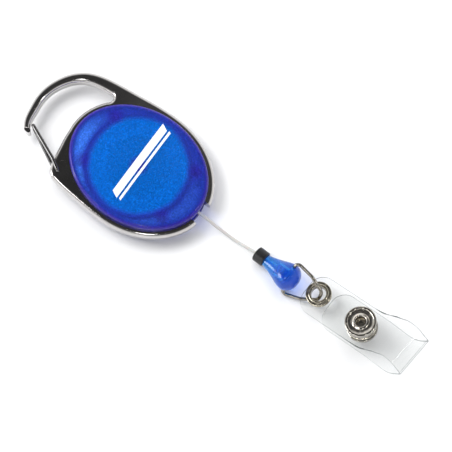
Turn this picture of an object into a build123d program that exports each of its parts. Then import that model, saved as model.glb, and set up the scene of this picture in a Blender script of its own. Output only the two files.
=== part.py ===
from build123d import *
import os
from math import asin, cos, degrees, pi, radians, sin, sqrt

# Retractable badge reel with a carabiner frame. Millimetres.
# Origin on the spool axis at the flat back face. +Y towards the hook, -Y towards the cord,
# +Z out of the printed front.

os.makedirs("parts", exist_ok=True)

# ---------------------------------------------------------------- driving dimensions
slack = 0.05  # clearance between pieces that touch or run on each other

# Case and covers
case_rx = 19.35  # half width of the oval covers
case_ry = 24.55  # half height of the oval covers
case_depth = 12.0  # back face to the top of the dome
cover_roof = 1.5
dome_radius = 250.0
cover_edge = 1.3  # rounding of the covers' outer edges
cover_lip = 0.65  # how far each cover overlaps the ring

# Carabiner frame
frame_thickness = 4.8
frame_back = 3.6
frame_front = frame_back + frame_thickness
mid_plane = frame_back + frame_thickness / 2
ring_width = 2.1  # ring seen beyond the covers
ring_rx = case_rx + ring_width
ring_ry = case_ry + ring_width
bar_round = 1.4
plate_round = 1.4
cord_gap = 7.5
cord_gap_x = -0.2

# Wire gate
wire_gate = 1.2  # wire diameter
gate_pivot = (-16.3, 20.9)
gate_tip = (-8.5, 36.9)
gate_tip_spread = 3.8  # centre distance of the two legs at the tip
gate_pin = 1.8  # depth of each leg's end in the foot plate

# Spool, spring and wound cord
spool_radius = 16.2
spool_bore = 3.2
spool_base = 2.0
spool_top = 9.7
drum_inner = 10.6
drum_outer = 11.8
flange = 0.8
front_flange_top = 9.6
post_radius = 2.5
post_slot = 1.0
pin_boss = 1.9  # radius of the press pin bosses
pin_radius = 1.0
pin_x = 9.4
pin_y = 16.3
wall_ring_outer = 17.9
wall_ring_inner = 17.0

# Cord
cord_radius = 0.52
exit_height = 5.0
exit_hole = 0.75
exit_inner_y = -23.6  # where the free cord starts, inside the exit hole
sag_height = 0.8

# Cord end: collar, bob and bail
collar_front = Vector(0.43, -47.6, 3.2)
collar_radius = 2.55
collar_length = 3.9
chain_yaw = 4.0  # the bob's axis turns this far towards -X
chain_pitch = 10.0  # and rises this far, because it lies on its widest part
bob_length = 13.4
bob_radius = 4.7
bob_widest = 9.7  # from the bob's top
bail_swivel = 48.0  # the bail's cross axis leans this far out of the horizontal
bail_droop = 10.0  # the bail hangs this far out of line with the bob
bail_wire_radius = 0.575
bail_half_width = 7.0
bail_length = 11.9

# Strap, eyelet and snap
strap_width = 13.6
strap_thickness = 0.5
strap_pitch = 16.0
strap_yaw = 2.0
strap_corner = 5.0
eyelet_hole = 2.5
eyelet_radius = 4.25
eyelet_half_height = 1.0
snap_at = 17.0  # eyelet centre to snap centre along the strap
fold_at = 37.15  # eyelet centre to the fold
strap_end = 4.4  # strap beyond the eyelet centre
flap_end = 3.8  # free end of the flap, from the eyelet centre
layer_gap = 4.3  # centre distance of the two layers at the snap
snap_radius = 5.2


# ---------------------------------------------------------------- shared helpers
def section_plane(origin, along, across):
    """Plane of a section: local X runs along the axis, local Y across it."""
    return Plane(origin=origin, x_dir=along, z_dir=along.cross(across))


def heading(yaw, pitch):
    """Unit vector that runs towards -Y, turned to -X by yaw and raised by pitch."""
    flat = cos(radians(pitch))
    return Vector(-sin(radians(yaw)) * flat, -cos(radians(yaw)) * flat, sin(radians(pitch)))


def round_rod(path, radius):
    """Round bar along an edge or wire."""
    with BuildPart() as rod:
        with BuildSketch(Plane(origin=path @ 0, z_dir=path % 0)):
            Circle(radius)
        sweep(path=path)
    return rod.part


def points_beside(curve, distance, count):
    """Points the given distance to the left of a flat curve."""
    stations = [i / (count - 1) for i in range(count)]
    return [curve @ u + Vector(0, 0, 1).cross(curve % u).normalized() * distance for u in stations]


def save(piece, name):
    """Label a finished piece and write its STEP file."""
    piece.part.label = name
    export_step(piece.part, f"parts/{name}.step")


# ---------------------------------------------------------------- carabiner frame
def ring_point(angle, inset):
    """Point on the ring's oval, inset from its outer edge."""
    return ((ring_rx - inset) * cos(radians(angle)), (ring_ry - inset) * sin(radians(angle)))


bar_inset = 2.05
hook_stations = [  # centre line of the hook bar and its width there
    ((19.2, 8.0), 4.1),
    ((18.25, 16.0), 4.3),
    ((17.4, 24.0), 4.3),
    ((14.95, 32.75), 3.7),
    ((8.25, 38.6), 3.15),
    ((0.1, 40.55), 2.9),
    ((-4.4, 40.05), 2.8),
    ((-7.9, 39.4), 2.4),
    ((-10.5, 38.0), 2.1),
]
ring_stations = [(ring_point(angle, bar_inset), 2 * bar_inset) for angle in (-86, -60, -35, -10)]

with BuildLine(Plane.XY.offset(mid_plane)) as hook_line:
    hook_curve = Spline([point for point, width in ring_stations + hook_stations])

foot_side = (-19.4, 20.9)
foot_top = (-17.3, 23.55)
ring_top = ring_point(98, 0)
web_start = ring_point(55, 0)

with BuildPart() as carabiner_frame:
    # Plate: left half of the ring, foot plate and corner web
    with BuildSketch(Plane.XY.offset(frame_back)):
        with BuildLine():
            EllipticalCenterArc((0, 0), ring_rx, ring_ry, 180, arc_size=90)
            left_edge = Spline((-ring_rx, 0), (-20.7, 12.0), foot_side, tangents=((0, 1), (0.25, 1)))
            corner = TangentArc(foot_side, foot_top, tangent=left_edge % 1)
            Spline(foot_top, (-10.5, 25.3), ring_top, tangents=(corner % 1, (1, 0.02)))
            EllipticalCenterArc((0, 0), ring_rx, ring_ry, 55, arc_size=43)
            ThreePointArc(web_start, (14.0, 20.9), (15.5, 23.2))
            Polyline((15.5, 23.2), (17.4, 23.2), (18.2, 8.0), (0, -20.0), (0, -ring_ry))
        make_face()
    extrude(amount=frame_thickness)
    rims = carabiner_frame.edges().group_by(Axis.Z)[0] + carabiner_frame.edges().group_by(Axis.Z)[-1]
    fillet(rims.filter_by(GeomType.LINE, reverse=True), plate_round)

    # Hook bar: starts at the ring's right end and tapers to the nose
    for point, width in ring_stations + hook_stations:
        u = hook_curve.param_at_point(Vector(point[0], point[1], mid_plane))
        station = Plane(origin=hook_curve @ u, x_dir=(0, 0, 1), z_dir=hook_curve % u)
        with BuildSketch(station):
            RectangleRounded(frame_thickness, width, min(bar_round, 0.42 * width))
    sweep(path=hook_curve, multisection=True)

    # Nose lip that holds the gate's tip
    with BuildSketch(Plane.XY.offset(frame_back + 0.2)):
        with Locations((-10.75, 37.75)):
            Circle(0.85)
        with Locations((-11.0, 36.95)):
            Circle(0.7)
        make_hull()
    extrude(amount=frame_thickness - 0.4)

    # Oval window for the covers, the gap for the cord and the gate's pivot hole
    with BuildSketch(Plane.XY.offset(frame_back - 1)):
        Ellipse(case_rx - cover_lip, case_ry - cover_lip)
        with Locations((cord_gap_x, -ring_ry)):
            Rectangle(cord_gap, 8)
        with Locations(gate_pivot):
            Circle(wire_gate / 2 + slack)
    extrude(amount=frame_thickness + 2, mode=Mode.SUBTRACT)

    # Shallow round mark beside the gate's foot
    with BuildSketch(Plane.XY.offset(frame_front)):
        with Locations((-13.9, 20.9)):
            Circle(1.55)
    extrude(amount=-0.25, mode=Mode.SUBTRACT)
save(carabiner_frame, "carabiner_frame")

# ---------------------------------------------------------------- wire gate
front_leg = frame_front + wire_gate / 2 + slack
back_leg = frame_back - wire_gate / 2 - slack
tip_front = mid_plane + gate_tip_spread / 2
tip_back = mid_plane - gate_tip_spread / 2

with BuildPart() as gate_wire:
    with BuildLine() as gate_path:
        FilletPolyline(
            (*gate_pivot, frame_front - gate_pin),
            (*gate_pivot, front_leg),
            (-13.9, 25.0, front_leg),
            (*gate_tip, tip_front),
            (*gate_tip, tip_back),
            (-14.8, 25.0, back_leg),
            (*gate_pivot, back_leg),
            (*gate_pivot, frame_back + gate_pin),
            radius=0.8,
        )
    add(round_rod(gate_path.wire(), wire_gate / 2))
save(gate_wire, "gate_wire")


# ---------------------------------------------------------------- covers
def domed_oval(rx, ry, base, apex, edge=0.0):
    """Oval block from base up to a shallow dome, with its top edge rounded if edge is given."""
    with BuildPart() as block:
        with BuildSketch(Plane.XY.offset(base)):
            Ellipse(rx, ry)
        extrude(amount=apex - base)
        with Locations((0, 0, apex - dome_radius)):
            Sphere(dome_radius, rotation=(90, 0, 0), mode=Mode.INTERSECT)
        if edge:
            fillet(block.faces().sort_by(Axis.Z)[-1].edges(), edge)
    return block.part


cover_split = 0.03  # half the gap between the two covers' spigots
spigot_rx = case_rx - cover_lip - slack
spigot_ry = case_ry - cover_lip - slack
cavity_rx = spigot_rx - 1.2
cavity_ry = spigot_ry - 1.2
roof = case_depth - cover_roof  # underside of the dome at its centre
floor_top = 1.5
pin_points = [(x, y) for x in (-pin_x, pin_x) for y in (-pin_y, pin_y)]

front_block = domed_oval(case_rx, case_ry, frame_front + slack, case_depth, cover_edge)
front_cavity = domed_oval(cavity_rx, cavity_ry, mid_plane - 1, roof)
front_limit = domed_oval(case_rx - 0.5, case_ry - 0.5, mid_plane - 4, roof + 0.2)

with BuildPart() as front_ribs:
    # Round wall about the spool and the four press pins, trimmed to the dome's underside
    with BuildSketch(Plane.XY.offset(mid_plane + cover_split)):
        Circle(wall_ring_outer)
        Circle(wall_ring_inner, mode=Mode.SUBTRACT)
        Ellipse(cavity_rx + 0.2, cavity_ry + 0.2, mode=Mode.INTERSECT)
        with Locations(pin_points):
            Circle(pin_boss)
    extrude(amount=roof + 0.2 - mid_plane)
    with BuildSketch(Plane.XY.offset(mid_plane - 2.8)):
        with Locations(pin_points):
            Circle(pin_radius)
    extrude(amount=3.5)
    add(front_limit, mode=Mode.INTERSECT)

with BuildPart() as front_cover:
    add(front_block)
    with BuildSketch(Plane.XY.offset(mid_plane + cover_split)):
        Ellipse(spigot_rx, spigot_ry)
    extrude(amount=frame_front + slack - mid_plane)
    add(front_cavity, mode=Mode.SUBTRACT)
    add(front_ribs.part)
    # Locating ring round the tip of the centre post
    with BuildSketch(Plane.XY.offset(roof - 0.7)):
        Circle(post_radius + slack + 0.9)
        Circle(post_radius + slack, mode=Mode.SUBTRACT)
    extrude(amount=0.75)
save(front_cover, "front_cover")

with BuildPart() as rear_cover:
    with BuildSketch():
        Ellipse(case_rx, case_ry)
    extrude(amount=frame_back - slack)
    fillet(rear_cover.edges().sort_by(Axis.Z)[0], cover_edge)
    with BuildSketch(Plane.XY.offset(floor_top)):
        Ellipse(spigot_rx, spigot_ry)
    extrude(amount=mid_plane - cover_split - floor_top)
    with BuildSketch(Plane.XY.offset(floor_top)):
        Ellipse(cavity_rx, cavity_ry)
    extrude(amount=mid_plane, mode=Mode.SUBTRACT)
    # Round wall about the spool, open where the cord runs to the exit, and the pin sockets
    with BuildSketch(Plane.XY.offset(floor_top - 0.1)):
        Circle(wall_ring_outer)
        Circle(wall_ring_inner, mode=Mode.SUBTRACT)
        Ellipse(cavity_rx + 0.2, cavity_ry + 0.2, mode=Mode.INTERSECT)
        with Locations((3.4, -16.5)):
            Rectangle(9.0, 6.0, mode=Mode.SUBTRACT)
        with Locations(pin_points):
            Circle(pin_boss)
    extrude(amount=mid_plane - cover_split - floor_top + 0.1)
    with BuildSketch(Plane.XY.offset(mid_plane - 3.2)):
        with Locations(pin_points):
            Circle(pin_radius + slack)
    extrude(amount=4, mode=Mode.SUBTRACT)
    # Spool journal and slotted spring post
    with BuildSketch(Plane.XY.offset(floor_top - 0.1)):
        Circle(spool_bore + 1.4)
    extrude(amount=spool_base - slack - floor_top + 0.1)
    with BuildSketch(Plane.XY.offset(floor_top)):
        Circle(spool_bore - slack)
    extrude(amount=spool_base + 1.0 - floor_top)
    with BuildSketch(Plane.XY.offset(floor_top)):
        Circle(post_radius)
    extrude(amount=roof - 0.1 - floor_top)
    with BuildSketch(Plane.XY.offset(spool_base + 1.0)):
        Rectangle(8, post_slot)
    extrude(amount=roof, mode=Mode.SUBTRACT)
    # Cord exit
    with BuildSketch(Plane.XZ.offset(-exit_inner_y - 2.0)):
        with Locations((0, exit_height)):
            Circle(exit_hole)
    extrude(amount=5, mode=Mode.SUBTRACT)
save(rear_cover, "rear_cover")

# ---------------------------------------------------------------- spool and wound cord
with BuildPart() as spool:
    with BuildSketch(Plane.XZ):
        with BuildLine():
            Polyline(
                (spool_bore, spool_base),
                (spool_radius, spool_base),
                (spool_radius, spool_base + flange),
                (drum_outer, spool_base + flange),
                (drum_outer, front_flange_top - flange),
                (spool_radius, front_flange_top - flange),
                (spool_radius, front_flange_top),
                (drum_outer, front_flange_top),
                (drum_outer, spool_top),
                (drum_inner, spool_top),
                (drum_inner, spool_base + flange),
                (spool_bore, spool_base + flange),
                close=True,
            )
        make_face()
    revolve(axis=Axis.Z)
save(spool, "spool")

coil_base = spool_base + flange + slack
coil_top = front_flange_top - flange - slack
turns_per_layer = 5
coil_pitch = (coil_top - coil_base) / turns_per_layer
coil_radius = 13.4

with BuildPart() as cord_coil:
    with BuildSketch(Plane.XZ):
        with BuildLine():
            Polyline(
                (coil_radius, coil_base),
                (drum_outer + slack, coil_base),
                (drum_outer + slack, coil_top),
                (coil_radius, coil_top),
            )
            for turn in range(turns_per_layer):
                low = coil_base + turn * coil_pitch
                crest = (coil_radius + 0.5, low + coil_pitch / 2)
                ThreePointArc((coil_radius, low), crest, (coil_radius, low + coil_pitch))
        make_face()
    revolve(axis=Axis.Z)
save(cord_coil, "cord_coil")

# ---------------------------------------------------------------- power spring
ribbon = 0.24
spring_turns = 9
spring_inner = post_radius + 0.45
spring_outer = drum_inner - 0.35


def spring_radius(turn):
    """Radius of the ribbon's centre line, packed towards the drum."""
    return spring_inner + (spring_outer - spring_inner) * sqrt(turn / spring_turns)


def spiral(shift):
    """Points of the ribbon's side, shifted outward from its centre line."""
    steps = 14 * spring_turns
    points = []
    for step in range(steps + 1):
        turn = spring_turns * step / steps
        radius = spring_radius(turn) + shift
        points.append((radius * cos(2 * pi * turn), radius * sin(2 * pi * turn)))
    return points


with BuildPart() as power_spring:
    with BuildSketch(Plane.XY.offset(spool_base + flange + 0.3)):
        with BuildLine():
            outer_side = Spline(spiral(ribbon / 2))
            inner_side = Spline(spiral(-ribbon / 2))
            Line(outer_side @ 0, inner_side @ 0)
            Line(outer_side @ 1, inner_side @ 1)
        make_face()
        # Tongue in the post's slot
        with Locations((spring_inner / 2 - 0.4, 0)):
            Rectangle(spring_inner + 0.8, ribbon)
    extrude(amount=5.6)
save(power_spring, "power_spring")

# ---------------------------------------------------------------- cord
exit_distance = -exit_inner_y
tangent_angle = degrees(asin(coil_radius / exit_distance))
coil_tangent = Vector(
    coil_radius * cos(radians(tangent_angle)),
    -coil_radius * sin(radians(tangent_angle)),
    exit_height,
)
to_exit = Vector(-sin(radians(tangent_angle)), -cos(radians(tangent_angle)), 0)
outward = Vector(cos(radians(tangent_angle)), -sin(radians(tangent_angle)), 0)

with BuildPart() as cord_lead:
    with BuildLine() as lead_path:
        Spline(
            coil_tangent + to_exit * 1.0 + outward * 1.1,
            coil_tangent + to_exit * 12 + outward * 0.4,
            (0, exit_inner_y + slack, exit_height),
            tangents=(to_exit, (0, -1, 0)),
        )
    add(round_rod(lead_path.edge(), cord_radius - 0.02))
save(cord_lead, "cord_lead")

along_bob = heading(chain_yaw, chain_pitch)
level_across = Vector(0, 0, 1).cross(along_bob).normalized()
level_up = along_bob.cross(level_across)
bob_top = collar_front + along_bob * collar_length

with BuildPart() as cord:
    with BuildLine() as cord_path:
        Spline(
            (0, exit_inner_y, exit_height),
            (0.1, -29.0, 3.4),
            (0.2, -37.5, sag_height),
            collar_front - along_bob * slack,
            tangents=((0, -1, 0), along_bob),
        )
    add(round_rod(cord_path.edge(), cord_radius))
save(cord, "cord")

# ---------------------------------------------------------------- stop collar
bob_neck = 1.7
neck_depth = 0.8

with BuildPart() as stop_collar:
    with BuildSketch(section_plane(collar_front, along_bob, level_across)):
        with BuildLine():
            Polyline(
                (0, cord_radius + slack),
                (0, collar_radius),
                (collar_length, collar_radius),
                (collar_length, bob_neck + slack),
                (collar_length - neck_depth, bob_neck + slack),
                (collar_length - neck_depth, cord_radius + slack),
                close=True,
            )
        make_face()
    revolve(axis=Axis(collar_front, along_bob))
    outer_rims = stop_collar.edges().filter_by(GeomType.CIRCLE).sort_by(SortBy.RADIUS)[-2:]
    fillet(outer_rims, 0.4)
save(stop_collar, "stop_collar")

# ---------------------------------------------------------------- bob and knot
chamber_start = 5.2
chamber_radius = 1.7
chamber_end = 9.0
bail_pin_depth = 1.3

cross_axis = (
    level_across * cos(radians(bail_swivel)) + level_up * sin(radians(bail_swivel))
)
pivot = bob_top + along_bob * bob_widest

with BuildPart() as bob:
    with BuildSketch(section_plane(bob_top, along_bob, level_across)):
        with BuildLine():
            belly = Spline(
                (0.05, 1.95),
                (3.5, 2.85),
                (6.4, 3.95),
                (bob_widest, bob_radius),
                tangents=((1, 0.18), (1, 0)),
            )
            EllipticalCenterArc(
                (bob_widest, 0), bob_length - bob_widest, bob_radius, 0, arc_size=90
            )
            Polyline(
                (bob_length, 0),
                (chamber_end, 0),
                (chamber_end, chamber_radius),
                (chamber_start, chamber_radius),
                (chamber_start, cord_radius + slack),
                (slack - neck_depth, cord_radius + slack),
                (slack - neck_depth, bob_neck),
                (0.05, bob_neck),
                (0.05, 1.95),
            )
        make_face()
    revolve(axis=Axis(bob_top, along_bob))
    # Blind holes for the bail's ends
    for side in (-1, 1):
        sideways = cross_axis * side
        hole_bottom = pivot + sideways * (bob_radius - bail_pin_depth - 0.1)
        with BuildSketch(Plane(origin=hole_bottom, z_dir=sideways)):
            Circle(bail_wire_radius + slack)
        extrude(amount=4, mode=Mode.SUBTRACT)
save(bob, "bob")

knot_radius = 1.45
tail_end = collar_length + chamber_start + 1.8

with BuildPart() as cord_knot:
    with BuildSketch(Plane(origin=collar_front, z_dir=along_bob)):
        Circle(cord_radius)
    extrude(amount=tail_end)
    with Locations(collar_front + along_bob * tail_end):
        Sphere(knot_radius)
save(cord_knot, "cord_knot")

# ---------------------------------------------------------------- bail
droop_side = cross_axis.cross(along_bob)
along_bail = along_bob * cos(radians(bail_droop)) + droop_side * sin(radians(bail_droop))
bail_foot = 1.7  # half width where the legs would meet the loop's end
bail_knee = (6.6, 5.0)  # where each leg bends inward

with BuildPart() as bail_wire:
    with BuildLine(section_plane(pivot, along_bail, cross_axis)) as bail_path:
        FilletPolyline(
            (0, bob_radius - bail_pin_depth),
            (0, bail_half_width),
            bail_knee,
            (bail_length, bail_foot),
            (bail_length, -bail_foot),
            (bail_knee[0], -bail_knee[1]),
            (0, -bail_half_width),
            (0, -bob_radius + bail_pin_depth),
            radius=(1.5, 3.0, 2.1, 2.1, 3.0, 1.5),
        )
    add(round_rod(bail_path.wire(), bail_wire_radius))
save(bail_wire, "bail_wire")

# ---------------------------------------------------------------- strap frame
along_strap = heading(strap_yaw, strap_pitch)
strap_across = Vector(0, 0, 1).cross(along_strap).normalized()
strap_up = along_strap.cross(strap_across)
bail_apex = pivot + along_bail * bail_length
eyelet_centre = bail_apex + strap_across * 0.3 - along_strap * 0.75
snap_centre = eyelet_centre + along_strap * snap_at
side_plane = section_plane(eyelet_centre, along_strap, strap_up)
top_plane = Plane(origin=eyelet_centre, x_dir=along_strap, z_dir=strap_up)
eyelet_plane = section_plane(eyelet_centre, strap_up, strap_across)
snap_plane = section_plane(snap_centre, strap_up, strap_across)
half_sheet = strap_thickness / 2


def turned(plane, points, rounding):
    """Ring turned from a closed profile of (height, radius) points, with rounded edges."""
    with BuildPart() as ring:
        with BuildSketch(plane):
            with BuildLine():
                Polyline(*points, close=True)
            face = make_face()
            fillet(face.vertices(), rounding)
        revolve(axis=Axis(plane.origin, strap_up))
    return ring.part


def bead(plane, base, top, inner, outer, rounding):
    """Rolled ring between two heights and two radii."""
    return turned(plane, [(base, inner), (base, outer), (top, outer), (top, inner)], rounding)


# ---------------------------------------------------------------- eyelet and washer
flange_base = half_sheet + 0.02
rim_inner = eyelet_radius - 1.05  # the outer rim laps under the taller inner bead
rim_top = 0.75
barrel_wall = 0.3

with BuildPart() as eyelet:
    add(bead(eyelet_plane, flange_base, rim_top, rim_inner, eyelet_radius, 0.2))
    add(bead(eyelet_plane, flange_base, eyelet_half_height, eyelet_hole, rim_inner + 0.2, 0.33))
    with BuildSketch(Plane(origin=eyelet_centre - strap_up * eyelet_half_height, z_dir=strap_up)):
        Circle(eyelet_hole + barrel_wall)
        Circle(eyelet_hole, mode=Mode.SUBTRACT)
    extrude(amount=eyelet_half_height + flange_base + 0.35)
save(eyelet, "eyelet")

with BuildPart() as eyelet_washer:
    washer_hole = eyelet_hole + barrel_wall + slack
    add(bead(eyelet_plane, 0.05 - eyelet_half_height, -flange_base, washer_hole, eyelet_radius, 0.3))
save(eyelet_washer, "eyelet_washer")

# ---------------------------------------------------------------- strap
fold_height = -layer_gap / 2
strap_samples = 15
loop_start = snap_at + snap_radius + 0.4  # where the layers leave their straight part


def strap_sheet(start, height, loop_points, end_heading):
    """Sheet of the strap's thickness: straight from start, then curved through the loop."""
    straight_end = (loop_start, height)
    with BuildPart() as sheet:
        with BuildSketch(side_plane):
            with BuildLine(mode=Mode.PRIVATE):
                middle = Spline([straight_end] + loop_points, tangents=((1, 0), end_heading))
            with BuildLine():
                sides = []
                for shift in (half_sheet, -half_sheet):
                    Line((start, height + shift), (loop_start, height + shift))
                    sides.append(Spline(points_beside(middle, shift, strap_samples)))
                Line((start, height + half_sheet), (start, height - half_sheet))
                Line(sides[0] @ 1, sides[1] @ 1)
            make_face()
        extrude(amount=strap_width / 2, both=True)
    return sheet.part


def strap_outline(start, end, rounded_start):
    """Tall block with the strap's plan outline, to trim a sheet's free end round."""
    with BuildPart() as block:
        with BuildSketch(top_plane.offset(-15)):
            with BuildLine():
                FilletPolyline(
                    (end, strap_width / 2),
                    (start, strap_width / 2),
                    (start, -strap_width / 2),
                    (end, -strap_width / 2),
                    radius=rounded_start,
                )
                Line((end, -strap_width / 2), (end, strap_width / 2))
            make_face()
        extrude(amount=30)
    return block.part


loop_shape = [(26.5, 0.9), (31.0, 2.3), (34.8, 1.5), (fold_at, fold_height + 0.15)]
flap_shape = [(along, -layer_gap - height) for along, height in loop_shape]
upper_sheet = strap_sheet(-strap_end, 0, loop_shape, (0.25, -1))
flap_sheet = strap_sheet(flap_end, -layer_gap, flap_shape, (0.25, 1))
upper_outline = strap_outline(-strap_end, fold_at + 2, strap_corner)
flap_outline = strap_outline(flap_end, fold_at + 2, strap_corner)
snap_hole = 2.3

with BuildPart() as strap_upper:
    add(upper_sheet)
    add(upper_outline, mode=Mode.INTERSECT)
    with BuildSketch(top_plane.offset(-2)):
        Circle(eyelet_hole + barrel_wall + slack)
        with Locations((snap_at, 0)):
            Circle(snap_hole)
    extrude(amount=4, mode=Mode.SUBTRACT)
save(strap_upper, "strap_upper")

with BuildPart() as strap_flap:
    add(flap_sheet)
    add(flap_outline, mode=Mode.INTERSECT)
    with BuildSketch(top_plane.offset(-layer_gap - 2)):
        with Locations((snap_at, 0)):
            Circle(snap_hole)
    extrude(amount=4, mode=Mode.SUBTRACT)
save(strap_flap, "strap_flap")

# ---------------------------------------------------------------- snap fastener
plate_height = 1.05  # height of each ring on the strap
plate_web = 0.4
rim_width = 1.05
barrel_radius = 2.95
tube_outer = snap_hole - slack
tube_inner = 1.8
snap_gap = 0.02
lower_skin = -layer_gap + half_sheet  # top face of the flap
stud_radius = 1.55
stud_height = 2.9
stud_bore = 0.6  # hole in the stud's plate, filled by the stud
dimple_radius = 0.75
dimple_depth = 0.6
post_hole = 1.2


def snap_ring(skin, side, radius, hole, barrel_height):
    """Ring on one face of the strap: rolled rim, thin web and rolled barrel, side up or down."""
    base = skin + side * snap_gap
    with BuildPart() as ring:
        add(bead(snap_plane, base, skin + side * plate_height, radius - rim_width, radius, 0.34))
        add(bead(snap_plane, base, skin + side * plate_web, hole + 0.3, radius - 0.5, 0.05))
        add(bead(snap_plane, base, skin + side * barrel_height, hole, barrel_radius, 0.32))
    return ring.part


with BuildPart() as snap_cap:
    add(snap_ring(half_sheet, 1, snap_radius, tube_inner, plate_height - 0.1))
    with BuildSketch(Plane(origin=snap_centre - strap_up * (half_sheet + 0.45), z_dir=strap_up)):
        Circle(tube_outer)
        Circle(tube_inner, mode=Mode.SUBTRACT)
    extrude(amount=2 * half_sheet + 0.45 + 0.5)
save(snap_cap, "snap_cap")

with BuildPart() as snap_socket:
    add(snap_ring(-half_sheet, -1, snap_radius - 0.1, tube_outer + slack, 1.45))
save(snap_socket, "snap_socket")

with BuildPart() as snap_stud:
    add(snap_ring(lower_skin, 1, snap_radius - 0.3, stud_bore, plate_height - 0.2))
    stud_base = snap_centre + strap_up * (lower_skin + snap_gap)
    with BuildSketch(Plane(origin=stud_base, z_dir=strap_up)):
        Circle(stud_radius)
    extrude(amount=stud_height)
    stud_tip = snap_stud.edges().filter_by(GeomType.CIRCLE).sort_by(Axis(snap_centre, strap_up))[-1]
    fillet(stud_tip, 0.4)
    with BuildSketch(Plane(origin=stud_base + strap_up * stud_height, z_dir=strap_up)):
        Circle(dimple_radius)
    extrude(amount=-dimple_depth, mode=Mode.SUBTRACT)
save(snap_stud, "snap_stud")

with BuildPart() as snap_post:
    add(snap_ring(lower_skin - strap_thickness, -1, snap_radius, post_hole, plate_height - 0.1))
save(snap_post, "snap_post")
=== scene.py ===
import math

import bmesh
import bpy
from mathutils import Matrix, Vector


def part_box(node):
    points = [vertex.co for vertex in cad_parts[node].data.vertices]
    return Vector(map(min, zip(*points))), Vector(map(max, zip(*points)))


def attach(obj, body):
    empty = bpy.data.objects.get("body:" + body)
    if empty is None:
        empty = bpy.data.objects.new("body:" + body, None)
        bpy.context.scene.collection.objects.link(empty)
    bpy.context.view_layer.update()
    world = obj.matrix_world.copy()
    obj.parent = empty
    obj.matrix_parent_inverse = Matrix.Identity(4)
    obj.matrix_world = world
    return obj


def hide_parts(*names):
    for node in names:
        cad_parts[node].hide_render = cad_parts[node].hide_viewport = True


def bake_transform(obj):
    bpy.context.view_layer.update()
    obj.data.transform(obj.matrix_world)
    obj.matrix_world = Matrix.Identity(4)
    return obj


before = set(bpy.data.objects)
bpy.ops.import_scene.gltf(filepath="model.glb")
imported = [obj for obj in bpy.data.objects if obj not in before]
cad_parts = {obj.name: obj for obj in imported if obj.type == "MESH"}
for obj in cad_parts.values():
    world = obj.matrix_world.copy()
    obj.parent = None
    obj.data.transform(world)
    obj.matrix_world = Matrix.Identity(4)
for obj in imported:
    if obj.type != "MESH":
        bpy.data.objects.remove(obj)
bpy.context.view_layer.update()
MM = 0.001
TUBE_SHARP, SHEET_SHARP = 50, 40  # degrees; sharper edges than these stay sharp


# ------------------------------------------------------------------ small helpers
def mm(x, y, z):
    """A point given in millimetres."""
    return Vector((x, y, z)) * MM


def heading(yaw, pitch):
    """Unit vector towards -Y, turned to -X by yaw and raised by pitch, in degrees."""
    flat = math.cos(math.radians(pitch))
    yaw = math.radians(yaw)
    return Vector((-math.sin(yaw) * flat, -math.cos(yaw) * flat, math.sin(math.radians(pitch))))


def link(obj):
    """Puts an object in the scene and gives it back."""
    bpy.context.scene.collection.objects.link(obj)
    return obj


def mesh_object(name, verts, faces, smooth_angle=None):
    """Object from vertices in metres; edges sharper than smooth_angle stay sharp."""
    mesh = bpy.data.meshes.new(name)
    mesh.from_pydata([tuple(v) for v in verts], [], faces)
    mesh.validate()
    bm = bmesh.new()
    bm.from_mesh(mesh)
    bmesh.ops.recalc_face_normals(bm, faces=bm.faces)
    bm.to_mesh(mesh)
    bm.free()
    if smooth_angle is not None:
        smooth(mesh, smooth_angle)
    return link(bpy.data.objects.new(name, mesh))


def smooth(mesh, angle):
    """Shades a mesh smooth, except over edges sharper than angle in degrees."""
    for polygon in mesh.polygons:
        polygon.use_smooth = True
    mesh.set_sharp_from_angle(angle=math.radians(angle))


def spline_points(points, steps):
    """Catmull-Rom curve through the points, steps samples per span."""
    pts = [Vector(p) for p in points]
    count = len(pts)
    out = []
    for i in range(count - 1):
        b, c = pts[i], pts[i + 1]
        a = pts[i - 1] if i > 0 else b * 2 - c
        d = pts[i + 2] if i + 2 < count else c * 2 - b
        for step in range(steps):
            t = step / steps
            out.append(
                0.5 * (2 * b + (c - a) * t + (2 * a - 5 * b + 4 * c - d) * t * t
                       + (3 * b - a - 3 * c + d) * t * t * t)
            )
    out.append(pts[-1])
    return out


def tube(name, path, radius, sides, closed=False):
    """Round tube along a list of points, without twist; its ends are capped unless it is closed."""
    count = len(path)
    tangents = []
    for i in range(count):
        if closed:
            tangent = path[(i + 1) % count] - path[i - 1]
        else:
            tangent = path[min(i + 1, count - 1)] - path[max(i - 1, 0)]
        tangents.append(tangent.normalized())
    side = tangents[0].orthogonal().normalized()
    verts = []
    for i in range(count):
        side = (side - tangents[i] * side.dot(tangents[i])).normalized()
        other = tangents[i].cross(side)
        for k in range(sides):
            angle = 2 * math.pi * k / sides
            verts.append(path[i] + (side * math.cos(angle) + other * math.sin(angle)) * radius)
    faces = []
    rings = count if closed else count - 1
    for i in range(rings):
        j = (i + 1) % count
        for k in range(sides):
            n = (k + 1) % sides
            faces.append((i * sides + k, i * sides + n, j * sides + n, j * sides + k))
    if not closed:
        faces.append(tuple(reversed(range(sides))))
        faces.append(tuple((count - 1) * sides + k for k in range(sides)))
    return mesh_object(name, verts, faces, TUBE_SHARP)


# ------------------------------------------------------------------ material helpers
RANGE_SOCKETS = ("From Min", "From Max", "To Min", "To Max")


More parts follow.
